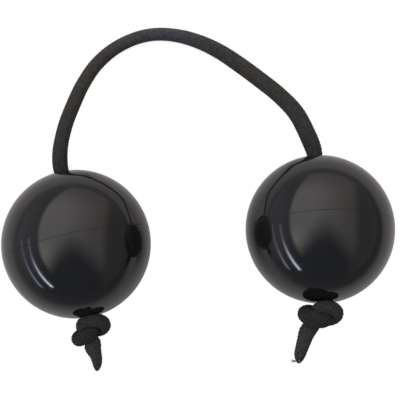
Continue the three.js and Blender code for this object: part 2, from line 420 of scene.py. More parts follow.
# %% The free section
# The cord counts as upright where the level part of its direction is shorter than this.
UPRIGHT = 0.05


def table(rows, at, column):
    rows = np.array(rows, float)
    return np.interp(at, rows[:, 0], rows[:, column])


def beyond_neck(place):
    """The side that a place is on, and how far it lies from that side's neck towards the crown."""
    side = "left" if place < CROWN else "right"
    return side, (place - NECK[side]) * TOWARDS_CROWN[side]


def level_across(way):
    """The level direction square to the cord, and any such direction where it stands upright."""
    level = np.cross(way, (0, 0, 1))
    return unit(level if np.linalg.norm(level) > UPRIGHT else np.cross(way, (0, 1, 0)))


def free_section(place, way):
    """Half width, half thickness and the flat side's direction of the cord at one place."""
    side, distance = beyond_neck(place)
    level = level_across(way)
    if distance > -NECK_STANDOFF:
        loosened = min(1, (distance + NECK_STANDOFF) / LOOSENS_OVER)
        wide = IN_HOLE + (HALF_WIDTH - IN_HOLE) * loosened
        thick = IN_HOLE + (HALF_THICKNESS - IN_HOLE) * loosened
        turn = math.radians(table(FLAT_TURN[side], distance / MM, 1)) * TOWARDS_CROWN[side]
        return wide, thick, level * math.cos(turn) + np.cross(level, way) * math.sin(turn)
    from_centre = along_line(CORD_LINE, [place])[0] - ball_frame(side)[0]
    if np.linalg.norm(from_centre) < BALL_RADIUS - UNDER_SURFACE:
        return IN_HOLE, IN_HOLE, level
    from_tip = (place if side == "left" else CORD_LENGTH - place) / MM
    wide, thick = (table(TAIL_SECTIONS[side], from_tip, column) * MM for column in (1, 2))
    knotted = np.clip((from_tip - TAIL_SECTIONS[side][-1][0]) / INTO_KNOT, 0, 1)
    strand = KNOT_STRAND[side]
    return wide + (strand - wide) * knotted, thick + (strand - thick) * knotted, level


def free_radii():
    radii = np.empty((len(PLACES), RING_SIDES))
    for i, (place, way) in enumerate(zip(PLACES, WAY)):
        wide, thick, flat = free_section(place, way)
        over = SPOKES[i] @ unit(flat)
        radii[i] = 1 / np.sqrt((over / wide) ** 2 + (1 - over**2) / thick**2)
    return radii


FREE = free_radii()
print(f"free half thickness: {FREE.min() / MM:.2f} to {FREE.max() / MM:.2f} mm")

# %% [markdown]
# Where strands press on each other they flatten. A spoke of a ring therefore ends no further out
# than halfway to any other part of the cord, and no further than the ball's surface or the floor.
# Halfway along spoke u towards a centre at offset d is |d|^2 / (2 u.d). On the inside of a tight
# bend the same rule stops the skin from folding through itself.

# %% Pressing the strands together
YARN_ROOM = 0.14 * MM
PRESS_SHARPNESS = 9
THINNEST = 0.3 * MM
# Rings this near along the cord don't press on each other.
NEIGHBOURS = 1 * MM
# A ring whose centre is this near to the ball's surface is in the hole.
HOLE_MOUTH = 1.4 * MM
# A spoke that meets nothing reaches this far.
FREE_REACH = 1.0
TINY = 1e-9


def halfway_to_others(i):
    offsets = (CENTRES - CENTRES[i])[np.abs(PLACES - PLACES[i]) > NEIGHBOURS]
    towards = SPOKES[i] @ offsets.T
    halfway = (offsets**2).sum(1) / (2 * np.maximum(towards, TINY))
    return np.where(towards > TINY, halfway, FREE_REACH).min(1) - YARN_ROOM


def to_ball(i):
    """How far each spoke reaches before it meets a ball that it is outside of."""
    reach = np.full(RING_SIDES, FREE_REACH)
    for side in SIDES:
        offset = CENTRES[i] - ball_frame(side)[0]
        if np.linalg.norm(offset) < BALL_RADIUS + HOLE_MOUTH:
            continue
        inward = SPOKES[i] @ offset
        wall = BALL_RADIUS + YARN_ROOM
        root = inward**2 - (offset @ offset - wall**2)
        meets = (root > 0) & (inward < 0)
        reach[meets] = np.minimum(reach[meets], (-inward - np.sqrt(np.maximum(root, 0)))[meets])
    return reach


def to_floor(i):
    down = np.maximum(-SPOKES[i][:, 2], TINY)
    return (CENTRES[i, 2] - YARN_ROOM) / down


def pressed_radii():
    radii = FREE.copy()
    for i in range(len(PLACES)):
        for limit in (halfway_to_others(i), to_ball(i), to_floor(i)):
            limit = np.maximum(limit, THINNEST)
            both = radii[i] ** -PRESS_SHARPNESS + limit**-PRESS_SHARPNESS
            radii[i] = both ** (-1 / PRESS_SHARPNESS)
    return radii


RADII = pressed_radii()
SKIN = CENTRES[:, None] + SPOKES * RADII[:, :, None]
print(f"pressed half thickness: {RADII.min() / MM:.2f} to {RADII.max() / MM:.2f} mm")

# %% [markdown]
# The skin becomes a mesh with a UV map: once round is 0 to 1, and the whole length is 0 to 1. The
# yarns will be laid on it by those coordinates. Each point also keeps its distance along the cord,
# its outward direction, how thick the cord is there, and how much its colour is lightened, which is
# partly faded dye and partly painted light and shade: most on the arch, which lies in the light, a
# little at the cut ends, and not at all in the knots, which are kept dark as painted shade.

# %% The skin mesh
# Distance from the neck towards the crown in millimetres, and the painted light and fading there.
LIGHT_AND_FADING = [(-100, 0.38), (-88, 0), (0, 0.07), (8, 0.21), (30, 0.28), (60, 0.52), (92, 1)]


# Painted light and shade on the cord, with faded dye: none in the knots and most on the arch.
def faded(place):
    return table(LIGHT_AND_FADING, beyond_neck(place)[1] / MM, 1)


def add_attribute(mesh, name, values, kind="FLOAT", field="value"):
    attribute = mesh.attributes.new(name, kind, "POINT")
    attribute.data.foreach_set(field, np.ascontiguousarray(values, np.float32))


def map_braid(mesh):
    """The map's first axis goes once round the cord, and its second goes along it."""
    corners = np.array([0, 1, 1, 0]) / RING_SIDES
    round_share = (np.arange(RING_SIDES) / RING_SIDES)[None, :, None] + corners
    near, far = PLACES[:-1], PLACES[1:]
    length_share = np.stack([near, near, far, far], -1)[:, None] / CORD_LENGTH
    shares = np.broadcast_arrays(round_share, length_share)
    layer = mesh.uv_layers.new(name="braid_map")
    layer.data.foreach_set("uv", np.stack(shares, -1).ravel())


def skin_mesh():
    rings, sides = RADII.shape
    index = np.arange(rings * sides).reshape(rings, sides)
    near, far = index[:-1], index[1:]
    faces = np.stack([near, np.roll(near, -1, 1), np.roll(far, -1, 1), far], -1).reshape(-1, 4)
    mesh = bpy.data.meshes.new("cord_skin")
    mesh.from_pydata(SKIN.reshape(-1, 3), [], faces.tolist())
    mesh.shade_smooth()
    map_braid(mesh)
    add_attribute(mesh, "along", np.repeat(PLACES, sides))
    add_attribute(mesh, "thickness", np.repeat(RADII.mean(1), sides))
    add_attribute(mesh, "faded", np.repeat([faded(place) for place in PLACES], sides))
    normals = np.empty(len(mesh.vertices) * 3)
    mesh.vertex_normals.foreach_get("vector", normals)
    add_attribute(mesh, "outward", normals, "FLOAT_VECTOR", "vector")
    return mesh


SKIN_MESH = skin_mesh()
print("skin faces:", len(SKIN_MESH.polygons))

# %% [markdown]
# Geometry Nodes will lay the yarns. A node tree is easier to read as a list of steps, so this small
# helper adds one node at a time: an input that is another node's output is linked, and any other
# input is simply set. The same helper builds the materials later.

# %% A helper for node trees
class Nodes:
    """Adds nodes to one tree."""

    def __init__(self, tree):
        self.tree = tree

    def feed(self, socket, value):
        if isinstance(value, bpy.types.NodeSocket):
            self.tree.links.new(value, socket)
        else:
            socket.default_value = value

    def add(self, kind, inputs=None, **settings):
        node = self.tree.nodes.new(kind)
        for name, value in settings.items():
            setattr(node, name, value)
        for key, value in (inputs or {}).items():
            self.feed(node.inputs[key], value)
        return node

    def out(self, kind, inputs=None, **settings):
        """Adds a node and gives its first output."""
        return self.add(kind, inputs, **settings).outputs[0]

    def math(self, operation, *values):
        return self.out("ShaderNodeMath", dict(enumerate(values)), operation=operation)

    def vector(self, operation, first, second):
        return self.out("ShaderNodeVectorMath", {0: first, 1: second}, operation=operation)

    def scale(self, vector, factor):
        return self.out("ShaderNodeVectorMath", {0: vector, "Scale": factor}, operation="SCALE")

    def measure(self, operation, *vectors):
        """Vector maths whose result is one number."""
        node = self.add("ShaderNodeVectorMath", dict(enumerate(vectors)), operation=operation)
        return node.outputs["Value"]


print("kinds of step:", ", ".join(name for name in vars(Nodes) if not name.startswith("_")))

# %% [markdown]
# A tree's sizes are its named inputs, so that one tree serves several pieces. They are set on the
# modifier by the sockets' identifiers, before the object is first evaluated. The result is kept as
# a plain mesh, and the object with the modifier is thrown away.

# %% Trees with named inputs
def new_tree(kind, name, inputs, outputs):
    """A new node tree and its inputs. Each input is given as a socket type and a value."""
    tree = bpy.data.node_groups.new(name, kind)

    def add_socket(label, way, data):
        return tree.interface.new_socket(label, in_out=way, socket_type=f"NodeSocket{data}")

    for label, (data, value) in inputs.items():
        socket = add_socket(label, "INPUT", data)
        if value is not None:
            socket.default_value = value
    for label, data in outputs.items():
        add_socket(label, "OUTPUT", data)
    nodes = Nodes(tree)
    return nodes, nodes.add("NodeGroupInput").outputs


def geometry_tree(name, inputs):
    inputs = {"Geometry": ("Geometry", None), **inputs}
    return new_tree("GeometryNodeTree", name, inputs, {"Geometry": "Geometry"})


def made_by(tree, name, mesh, values):
    """The piece that a tree makes from a starting mesh, with its named inputs set."""
    source = add_object(name, mesh)
    modifier = source.modifiers.new(tree.name, "NODES")
    modifier.node_group = tree
    for item in tree.interface.items_tree:
        if item.item_type == "SOCKET" and item.in_out == "INPUT" and item.name in values:
            modifier[item.identifier] = values[item.name]
    evaluated = source.evaluated_get(bpy.context.evaluated_depsgraph_get())
    made = bpy.data.meshes.new_from_object(evaluated)
    made.name = name
    bpy.data.objects.remove(source)
    return add_object(name, made)


print("tree helpers ready")

# %% [markdown]
# The braid is yarns laid on the skin. Wherever a yarn passes it needs the skin's place, its
# outward direction and the cord's thickness there. The tree samples them through the skin's map,
# and it stores on the yarn what the material will read.

# %% Reading the skin
def named_value(nodes, name, kind="FLOAT"):
    return nodes.out("GeometryNodeInputNamedAttribute", {"Name": name}, data_type=kind)


def sampled(nodes, skin, kind, value, uv):
    """A value of the skin at a place on its map."""
    braid_map = named_value(nodes, "braid_map", "FLOAT_VECTOR")
    inputs = {"Mesh": skin, "Value": value, "UV Map": braid_map, "Sample UV": uv}
    return nodes.out("GeometryNodeSampleUVSurface", inputs, data_type=kind)


def stored(nodes, geometry, name, value, kind="FLOAT"):
    inputs = {"Geometry": geometry, "Name": name, "Value": value}
    return nodes.out("GeometryNodeStoreNamedAttribute", inputs, data_type=kind)


print("skin points to sample:", len(SKIN_MESH.vertices))

# %% [markdown]
# Half of the yarns wind one way and half the other, and each passes over two and under two. On the
# skin's map a yarn is a slanted straight line. The count of crossings along it says where it rides
# high and where it dives, as a sine wave a quarter turn out of step between the two families.

# %% One family of yarns
YARN_FACETS = 6
TONE_SEED = 7


def crossing_wave(nodes, given, hand, number, turns):
    """1 where a yarn rides over two others, -1 where it passes under two."""
    crossed = nodes.math("MULTIPLY", nodes.math("MULTIPLY", turns, 2.0 * hand), given["Yarns"])
    count = nodes.math("MULTIPLY_ADD", number, 2.0, crossed)
    phase = nodes.math("MULTIPLY_ADD", count, math.pi / 2, math.pi / 4)
    return nodes.math("MULTIPLY", nodes.math("SINE", phase), float(hand))


def yarn_profile(nodes, given):
    """A flat oval: its first axis is the yarn's thickness, its second the yarn's width."""
    circle = nodes.out("GeometryNodeCurvePrimitiveCircle", {"Resolution": YARN_FACETS, "Radius": 0.5})
    share = nodes.math("DIVIDE", nodes.out("GeometryNodeInputIndex"), float(YARN_FACETS))
    marked = stored(nodes, circle, "fibre_across", share)
    axes = {"X": given["Yarn thickness"], "Y": given["Yarn width"], "Z": 1.0}
    size = nodes.out("ShaderNodeCombineXYZ", axes)
    return nodes.out("GeometryNodeTransform", {"Geometry": marked, "Scale": size})


def yarn_family(nodes, given, hand):
    """The yarns that wind one way: hand is 1 or -1."""
    line = nodes.out("GeometryNodeCurvePrimitiveLine", {"Start": (0, 0, 0), "End": (1, 0, 0)})
    points = nodes.out("GeometryNodeResampleCurve", {"Curve": line, "Count": given["Points"]})
    copies = {"Geometry": points, "Amount": given["Yarns"]}
    yarns = nodes.add("GeometryNodeDuplicateElements", copies, domain="SPLINE").outputs
    number = yarns["Duplicate Index"]
    step = nodes.add("GeometryNodeSplineParameter").outputs["Index"]
    share = nodes.math("DIVIDE", step, nodes.math("SUBTRACT", given["Points"], 1.0))
    length = nodes.math("SUBTRACT", given["To"], given["From"])
    along = nodes.math("MULTIPLY_ADD", share, length, given["From"])
    turns = nodes.math("DIVIDE", along, given["Lay"])
    start = nodes.math("DIVIDE", number, given["Yarns"])
    around = nodes.math("FRACT", nodes.math("MULTIPLY_ADD", turns, float(hand), start))
    far = nodes.math("DIVIDE", along, given["Cord length"])
    uv = nodes.out("ShaderNodeCombineXYZ", {"X": around, "Y": far})

    def of_skin(kind, value):
        return sampled(nodes, given["Geometry"], kind, value, uv)

    seat = of_skin("FLOAT_VECTOR", nodes.out("GeometryNodeInputPosition"))
    outward = of_skin("FLOAT_VECTOR", named_value(nodes, "outward", "FLOAT_VECTOR"))
    thickness = of_skin("FLOAT", named_value(nodes, "thickness"))
    lift = nodes.math("MULTIPLY", crossing_wave(nodes, given, hand, number, turns), given["Rise"])
    place = nodes.vector("ADD", seat, nodes.scale(outward, lift))
    curve = nodes.out("GeometryNodeSetPosition", {"Geometry": yarns["Geometry"], "Position": place})
    curve = stored(nodes, curve, "fibre_along", along)
    # The painted light and shade, with faded dye, goes from the skin onto the yarn.
    curve = stored(nodes, curve, "faded", of_skin("FLOAT", named_value(nodes, "faded")))
    tone = nodes.add("FunctionNodeRandomValue", {"ID": number, "Seed": TONE_SEED + hand}).outputs[1]
    curve = stored(nodes, curve, "yarn_tone", tone)
    upright = nodes.out("GeometryNodeSetCurveNormal", {"Curve": curve, "Normal": outward}, mode="FREE")
    tube = {
        "Curve": upright,
        "Profile Curve": yarn_profile(nodes, given),
        "Scale": nodes.math("DIVIDE", thickness, given["Nominal thickness"]),
        "Fill Caps": True,
    }
    return nodes.out("GeometryNodeCurveToMesh", tube)


print("facets round a yarn:", YARN_FACETS)

# %% [markdown]
# Real braid has a filling, so no light comes through between its yarns. Here the skin does that,
# sunk a little under them. The tree joins both families and this core, makes them real and gives
# them their material, because the export drops what is only an instance.

# %% The braid tree
YARNS_EACH_WAY = 16
LAY_LENGTH = 22 * MM
YARN_WIDTH = 0.98 * MM
YARN_THICKNESS = 0.44 * MM
YARN_RISE = 0.13 * MM
CORE_DEPTH = 0.22 * MM
# The half thickness of the cord at which a yarn has the sizes above.
NOMINAL_HALF_THICKNESS = 2.8 * MM


def finish_tree(nodes, parts, material):
    """Joins the parts, makes them real and smooth, and gives them their material."""
    joined = nodes.add("GeometryNodeJoinGeometry")
    for part in reversed(parts):
        nodes.feed(joined.inputs[0], part)
    smooth = nodes.out("GeometryNodeSetShadeSmooth", {"Geometry": joined.outputs[0]})
    real = nodes.out("GeometryNodeRealizeInstances", {"Geometry": smooth})
    painted = nodes.out("GeometryNodeSetMaterial", {"Geometry": real, "Material": material})
    nodes.add("NodeGroupOutput", {"Geometry": painted})


def cord_core(nodes, given):
    """The skin under the yarns, for one stretch, a little smaller so that it shows only in gaps."""
    inward = nodes.scale(named_value(nodes, "outward", "FLOAT_VECTOR"), given["Core depth"])
    core = nodes.out("GeometryNodeSetPosition", {"Geometry": given["Geometry"], "Offset": inward})
    along = named_value(nodes, "along")
    before = nodes.math("LESS_THAN", along, given["From"])
    after = nodes.math("GREATER_THAN", along, given["To"])
    outside = {"Geometry": core, "Selection": nodes.math("MAXIMUM", before, after)}
    return nodes.out("GeometryNodeDeleteGeometry", outside, domain="FACE")


def braid_tree():
    nodes, given = geometry_tree(
        "braided cord",
        {
            "From": ("Float", 0.0),
            "To": ("Float", 0.1),
            "Points": ("Int", 100),
            "Cord length": ("Float", CORD_LENGTH),
            "Lay": ("Float", LAY_LENGTH),
            "Yarns": ("Int", YARNS_EACH_WAY),
            "Yarn width": ("Float", YARN_WIDTH),
            "Yarn thickness": ("Float", YARN_THICKNESS),
            "Rise": ("Float", YARN_RISE),
            "Nominal thickness": ("Float", NOMINAL_HALF_THICKNESS),
            "Core depth": ("Float", -CORE_DEPTH),
            "Material": ("Material", None),
        },
    )
    parts = [yarn_family(nodes, given, 1), yarn_family(nodes, given, -1), cord_core(nodes, given)]
    finish_tree(nodes, parts, given["Material"])
    return nodes.tree


BRAID = braid_tree()
print(f"yarns: {2 * YARNS_EACH_WAY}, each once round in {LAY_LENGTH / MM:.0f} mm of cord")

# %% [markdown]
# The materials are node trees too. Most of them need the same few steps: a value that a mesh
# carries, a place on the piece, soft random patches and a mix of two colours. The place is always
# in the piece's own coordinates, so that a pattern stays on it when it moves.

# %% Helpers for materials
def read_attribute(nodes, name):
    node = nodes.add("ShaderNodeAttribute", attribute_name=name, attribute_type="GEOMETRY")
    return node.outputs["Fac"]


def object_place(nodes):
    return nodes.add("ShaderNodeTexCoord").outputs["Object"]


def patches(nodes, place, scale, detail):
    """Soft random values."""
    return nodes.out("ShaderNodeTexNoise", {"Vector": place, "Scale": scale, "Detail": detail})


def mixed(nodes, share, first, second):
    """The first colour where the share is 0, the second where it is 1."""
    return nodes.add("ShaderNodeMix", {0: share, 6: first, 7: second}, data_type="RGBA").outputs[2]


print("material helpers ready")

# %% [markdown]
# Polyester yarn is a bundle of fine filaments, lightly twisted. Black dye makes it a warm
# charcoal, and each yarn took the dye a little differently. The grooves between the filaments are
# darker than their crests, as painted shade. Where the skin's value of painted light and faded dye
# is high the colour is lightened, and where it is middling it is browner, as half faded dye is. The
# pattern reads the attributes that the tree left on every yarn, so it follows the yarn through the
# knot. It is a shader group, so that a cord of another colour could use it too.

# %% Filaments, for everything made of yarn
WORN_PATCHES = 320.0


def filament_group():
    nodes, given = new_tree(
        "ShaderNodeTree",
        "filaments",
        {
            "Dark": ("Color", (0.02, 0.02, 0.02, 1)),
            "Light": ("Color", (0.05, 0.05, 0.05, 1)),
            "Twist": ("Float", 900.0),
            "Filaments": ("Float", 9.0),
            # How much the painted light and faded dye lighten the colour, and how much browner it is
            # halfway.
            "Painted light and bleach": ("Vector", (2.08, 2.04, 2.15)),
            "Half bleached": ("Vector", (0.1, -0.5, -2.3)),
        },
        {"Color": "Color", "Height": "Float"},
    )
    slant = nodes.math("MULTIPLY", read_attribute(nodes, "fibre_along"), given["Twist"])
    line = nodes.math("MULTIPLY_ADD", read_attribute(nodes, "fibre_across"), given["Filaments"], slant)
    ridge = nodes.math("ABSOLUTE", nodes.math("SINE", nodes.math("MULTIPLY", line, math.pi)))
    worn = patches(nodes, object_place(nodes), WORN_PATCHES, detail=3.0)
    half_worn = nodes.math("MULTIPLY", worn, 0.5)
    tone = nodes.math("MULTIPLY_ADD", read_attribute(nodes, "yarn_tone"), 0.5, half_worn)
    # Painted shade: the colour is darker in the grooves between the filaments than on their crests.
    tone_with_groove_shade = nodes.math("MULTIPLY", tone, nodes.math("MULTIPLY_ADD", ridge, 0.5, 0.5))
    dyed = mixed(nodes, tone_with_groove_shade, given["Dark"], given["Light"])
    # Painted light and shade with faded dye: it lightens the colour, and makes it browner halfway.
    lit_and_faded_share = read_attribute(nodes, "faded")
    half_gone = nodes.math("MULTIPLY", lit_and_faded_share, nodes.math("SUBTRACT", 1.0, lit_and_faded_share))
    painted_light_and_bleach = nodes.scale(given["Painted light and bleach"], lit_and_faded_share)
    brown = nodes.scale(given["Half bleached"], half_gone)
    tint = nodes.vector("ADD", nodes.vector("ADD", painted_light_and_bleach, brown), (1, 1, 1))
    colour = nodes.vector("MULTIPLY", dyed, tint)
    nodes.add("NodeGroupOutput", {"Color": colour, "Height": nodes.math("ADD", ridge, worn)})
    return nodes.tree


FILAMENTS = filament_group()
print("nodes for the filaments:", len(FILAMENTS.nodes))

# %% [markdown]
# Braid is dull cloth, so its material is rough and its highlights are weak. The filaments' ridges
# tilt the light through a bump, and they also darken the colour in their grooves as painted shade.
# Two near blacks are enough, because the group mixes them on every yarn and lightens both where the
# painted light and faded dye are strongest. The loose filaments are the same cloth.

# %% The cloth of the braid
BRAID_DARK = (0.0140, 0.0146, 0.0176, 1)
BRAID_LIGHT = (0.0342, 0.0352, 0.0417, 1)


def new_material(name):
    material = bpy.data.materials.new(name)
    material.use_nodes = True
    material.node_tree.nodes.clear()
    return material, Nodes(material.node_tree)


def surface(nodes, **values):
    """The material's shader. A name's underscores stand for the spaces in its socket's name."""
    shader = nodes.add("ShaderNodeBsdfPrincipled")
    for label, value in values.items():
        nodes.feed(shader.inputs[label.replace("_", " ")], value)
    nodes.add("ShaderNodeOutputMaterial", {"Surface": shader.outputs[0]})


def bumped(nodes, height, distance, strength):
    return nodes.out("ShaderNodeBump", {"Height": height, "Distance": distance, "Strength": strength})


def yarn_material(name, dark, light):
    material, nodes = new_material(name)
    yarn = nodes.add("ShaderNodeGroup", {"Dark": dark, "Light": light}, node_tree=FILAMENTS).outputs
    surface(
        nodes,
        Base_Color=yarn["Color"],
        Roughness=0.85,
        Specular_IOR_Level=0.3,
        Normal=bumped(nodes, yarn["Height"], distance=0.03 * MM, strength=0.7),
    )
    return material


BRAID_CLOTH = yarn_material("black_braid", BRAID_DARK, BRAID_LIGHT)
print("made material", BRAID_CLOTH.name)

# %% [markdown]
# Now the tree runs once for each stretch. Its result is a plain mesh, closed at both ends. All
# yarns run a hair into the next stretch, so no crack shows where they meet.

# %% The six stretches of cord
YARN_STEP = 0.42 * MM
LAP = 0.12 * MM


def close_ends(piece):
    """Caps every open ring of a mesh."""
    shape = bmesh.new()
    shape.from_mesh(piece.data)
    rims = [edge for edge in shape.edges if edge.is_boundary]
    caps = bmesh.ops.holes_fill(shape, edges=rims, sides=0)["faces"]
    for face in caps:
        face.smooth = False
    shape.to_mesh(piece.data)
    shape.free()
    return len(caps)


def cord_stretch(name):
    start, end = STRETCHES[name]
    values = {
        "From": max(0.0, start - LAP),
        "To": min(CORD_LENGTH, end + LAP),
        "Points": math.ceil((end - start) / YARN_STEP) + 1,
        "Material": BRAID_CLOTH,
    }
    piece = made_by(BRAID, f"{name}_cord", SKIN_MESH, values)
    caps = close_ends(piece)
    print(f"{piece.name}: {len(piece.data.polygons)} faces, {caps} caps")
    return piece


CORDS = {name: cord_stretch(name) for name in STRETCHES}

# %% [markdown]
# A braid frays where it is cut, so its ends are held in a flame until the polyester melts. It
# shrinks into a hard bead, nearly black on the left and scorched reddish brown on the right, with a
# small pale drop at the right tip. A melted drop is a round blob whose surface noise has made
# uneven, set into the yarns.

# %% The melted ends
DROPS = {
    "left_melted_end": {"from_tip": 0.5, "offset": (0, 0), "half": (0.8, 0.75, 0.7)},
    "right_melted_end": {"from_tip": 3.0, "offset": (0.15, 1.85), "half": (1.6, 1.3, 0.8)},
    # A small pale drop at the right tip.
    "right_bare_core": {"from_tip": 0.9, "offset": (0.1, 1.1), "half": (0.42, 0.42, 0.4)},
}
UNEVENNESS = 0.16
LUMPS_PER_RADIUS = 1.7
TIP_RING = {"left": 0, "right": -1}


def tip_directions(side):
    """Into the cord, level across it and upright, at the cut end."""
    into = WAY[TIP_RING[side]] * TOWARDS_CROWN[side]
    level = unit(np.cross(into, (0, 0, 1)))
    return np.array([into, level, np.cross(level, into)])


def melted_drop(name):
    side, drop = name.split("_")[0], DROPS[name]
    directions = tip_directions(side)
    middle = CORD_LINE[TIP_RING[side]] + (drop["from_tip"], *drop["offset"]) @ directions * MM
    shape = bmesh.new()
    bmesh.ops.create_icosphere(shape, subdivisions=4, radius=1.0)
    for vertex in shape.verts:
        swell = 1 + UNEVENNESS * noise.noise(vertex.co * LUMPS_PER_RADIUS + Vector(middle / MM))
        vertex.co = middle + (np.array(vertex.co) * drop["half"] * swell) @ directions * MM
    bmesh.ops.recalc_face_normals(shape, faces=shape.faces)
    mesh = bpy.data.meshes.new(name)
    shape.to_mesh(mesh)
    shape.free()
    mesh.shade_smooth()
    return add_object(name, mesh)


ENDS = {side: [] for side in SIDES}
for name in DROPS:
    ENDS[name.split("_")[0]].append(melted_drop(name))
print("melted drops:", {side: [piece.name for piece in pieces] for side, pieces in ENDS.items()})

# %% [markdown]
# Melted polyester is shiny where it flowed, and soot stays in its hollows. One noise gives both
# the lumps, through a bump, and the soot, through a mix of two colours. The three drops differ in
# colour and roughness only, so one function makes their materials.

# %% Melted polyester
MELT_BLACK = (0.006, 0.006, 0.007, 1)
MELT_BROWN = (0.018, 0.0078, 0.0070, 1)
TIP_SPOT_PALE = (0.20, 0.20, 0.185, 1)
SOOT = (0.004, 0.004, 0.004, 1)
SOOT_LEVELS = (0.35, 0.6)
MELT_LUMPS = 1400.0


def melted_material(name, colour, roughness):
    """Shiny where it flowed, with soot in its hollows."""
    material, nodes = new_material(name)
    lumps = patches(nodes, object_place(nodes), MELT_LUMPS, detail=3.0)
    levels = {"Value": lumps, "From Min": SOOT_LEVELS[0], "From Max": SOOT_LEVELS[1]}
    clean = nodes.out("ShaderNodeMapRange", levels)
    surface(
        nodes,
        Base_Color=mixed(nodes, clean, SOOT, colour),
        Roughness=roughness,
        Normal=bumped(nodes, lumps, distance=0.05 * MM, strength=0.5),
    )
    return material


for name, colour, roughness in (
    ("left_melted_end", MELT_BLACK, 0.4),
    ("right_melted_end", MELT_BROWN, 0.6),
    ("right_bare_core", TIP_SPOT_PALE, 0.6),
):
    material = melted_material(f"{name}_polyester", colour, roughness)
    bpy.data.objects[name].data.materials.append(material)
    print("made material", material.name)

# %% [markdown]
# A few filaments of the right end escaped the flame and stick out to one side. Each is a line that
# starts near one point, leaves in nearly one direction, and curls away by chance. The tree makes as
# many as it is asked for, always the same ones, because its seed is fixed.

# %% Roots of the frayed filaments
FRAY_COUNT = 16
FRAY_POINTS = 9
FRAY_LENGTH = 2.1 * MM
FRAY_RADIUS = 0.055 * MM
FRAY_FACETS = 5
# A filament starts as a short straight stub, and it is this share thinner at its end.
FRAY_STUB = 0.1 * MM
FRAY_THINNER = 0.5
FRAY_FROM_TIP = (0.7, -0.75, 0.3)


def chance(nodes, given, amount, draw):
    """A random vector for each filament, no longer than the named amount each way."""
    seed = nodes.math("ADD", given["Seed"], draw)
    number = nodes.out("GeometryNodeInputIndex")
    limits = {0: (-1, -1, -1), 1: (1, 1, 1), "Seed": seed, "ID": number}
    value = nodes.out("FunctionNodeRandomValue", limits, data_type="FLOAT_VECTOR")
    return nodes.vector("MULTIPLY", value, given[amount])


def fray_roots(nodes, given):
    """One point for each filament, which knows its way out and its curl."""
    seat = nodes.out("GeometryNodeMeshToPoints", {"Mesh": given["Geometry"]})
    copies = {"Geometry": seat, "Amount": given["Count"]}
    roots = nodes.out("GeometryNodeDuplicateElements", copies, domain="POINT")
    spread = {"Geometry": roots, "Offset": chance(nodes, given, "Root spread", 0.0)}
    roots = nodes.out("GeometryNodeSetPosition", spread)
    leaving = nodes.vector("ADD", given["Way out"], chance(nodes, given, "Way spread", 1.0))
    roots = stored(nodes, roots, "leaving", leaving, "FLOAT_VECTOR")
    return stored(nodes, roots, "curling", chance(nodes, given, "Curl", 2.0), "FLOAT_VECTOR")


print("filaments:", FRAY_COUNT)

# %% [markdown]
# One short stub is copied to every root and made real. Then its points move: along the root's way
# out by their share of the length, and along its curl by the square of that share. So a filament
# leaves straight and curls more and more.

# %% The frayed filaments
def fray_tree():
    nodes, given = geometry_tree(
        "frayed filaments",
        {
            "Count": ("Int", FRAY_COUNT),
            "Length": ("Float", FRAY_LENGTH),
            "Radius": ("Float", FRAY_RADIUS),
            "Way out": ("Vector", (-1, 0, 0)),
            "Root spread": ("Vector", (0.2 * MM, 0.2 * MM, 0.2 * MM)),
            "Way spread": ("Vector", (0.3, 0.3, 0.15)),
            "Curl": ("Vector", (0.5 * MM, 0.5 * MM, 0.2 * MM)),
            "Seed": ("Int", 11),
            "Material": ("Material", None),
        },
    )
    line = nodes.out("GeometryNodeCurvePrimitiveLine", {"Start": (0, 0, 0), "End": (0, 0, FRAY_STUB)})
    stub = nodes.out("GeometryNodeResampleCurve", {"Curve": line, "Count": FRAY_POINTS})
    stubs = {"Points": fray_roots(nodes, given), "Instance": stub}
    lines = nodes.out("GeometryNodeInstanceOnPoints", stubs)
    real = nodes.out("GeometryNodeRealizeInstances", {"Geometry": lines})
    step = nodes.add("GeometryNodeSplineParameter").outputs["Index"]
    share = nodes.math("DIVIDE", step, float(FRAY_POINTS - 1))
    reached = nodes.math("MULTIPLY", share, given["Length"])
    straight = nodes.scale(named_value(nodes, "leaving", "FLOAT_VECTOR"), reached)
    curled = nodes.math("POWER", share, 2.0)
    curl = nodes.scale(named_value(nodes, "curling", "FLOAT_VECTOR"), curled)
    bent = {"Geometry": real, "Offset": nodes.vector("ADD", straight, curl)}
    curve = stored(nodes, nodes.out("GeometryNodeSetPosition", bent), "yarn_tone", share)
    circle = {"Resolution": FRAY_FACETS, "Radius": given["Radius"]}
    tube = {
        "Curve": curve,
        "Profile Curve": nodes.out("GeometryNodeCurvePrimitiveCircle", circle),
        "Scale": nodes.math("MULTIPLY_ADD", share, -FRAY_THINNER, 1.0),
        "Fill Caps": True,
    }
    finish_tree(nodes, [nodes.out("GeometryNodeCurveToMesh", tube)], given["Material"])
    return nodes.tree


seat = bpy.data.meshes.new("fray_seat")
root = CORD_LINE[TIP_RING["right"]] + FRAY_FROM_TIP @ tip_directions("right") * MM
seat.from_pydata([root], [], [])
fray = made_by(fray_tree(), "right_frayed_filaments", seat, {"Material": BRAID_CLOTH})
ENDS["right"].append(fray)
print(f"{fray.name}: {len(fray.data.polygons)} faces")

# %% [markdown]
# Each stretch is fixed where it lies in the object's frame, and the part's cord nodes that it stands
# for are hidden. The melted ends and the frayed filaments are hung on the body beyond each neck.

# %% Placing the cord
CORD_NODES = {
    "stem": ("cord_in_ball", "knot", "cord_neck"),
    "knee": ("cord_lower", "cord_knee"),
    "shoulder": ("cord_upper", "cord_shoulder"),
}


def declare_stretch(name, piece):
    side, part = name.split("_")
    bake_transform(piece)
    nodes = [f"{side}_{node}" for node in CORD_NODES[part]]
    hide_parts(*nodes, *(["cord_crown"] if name == "left_shoulder" else []))


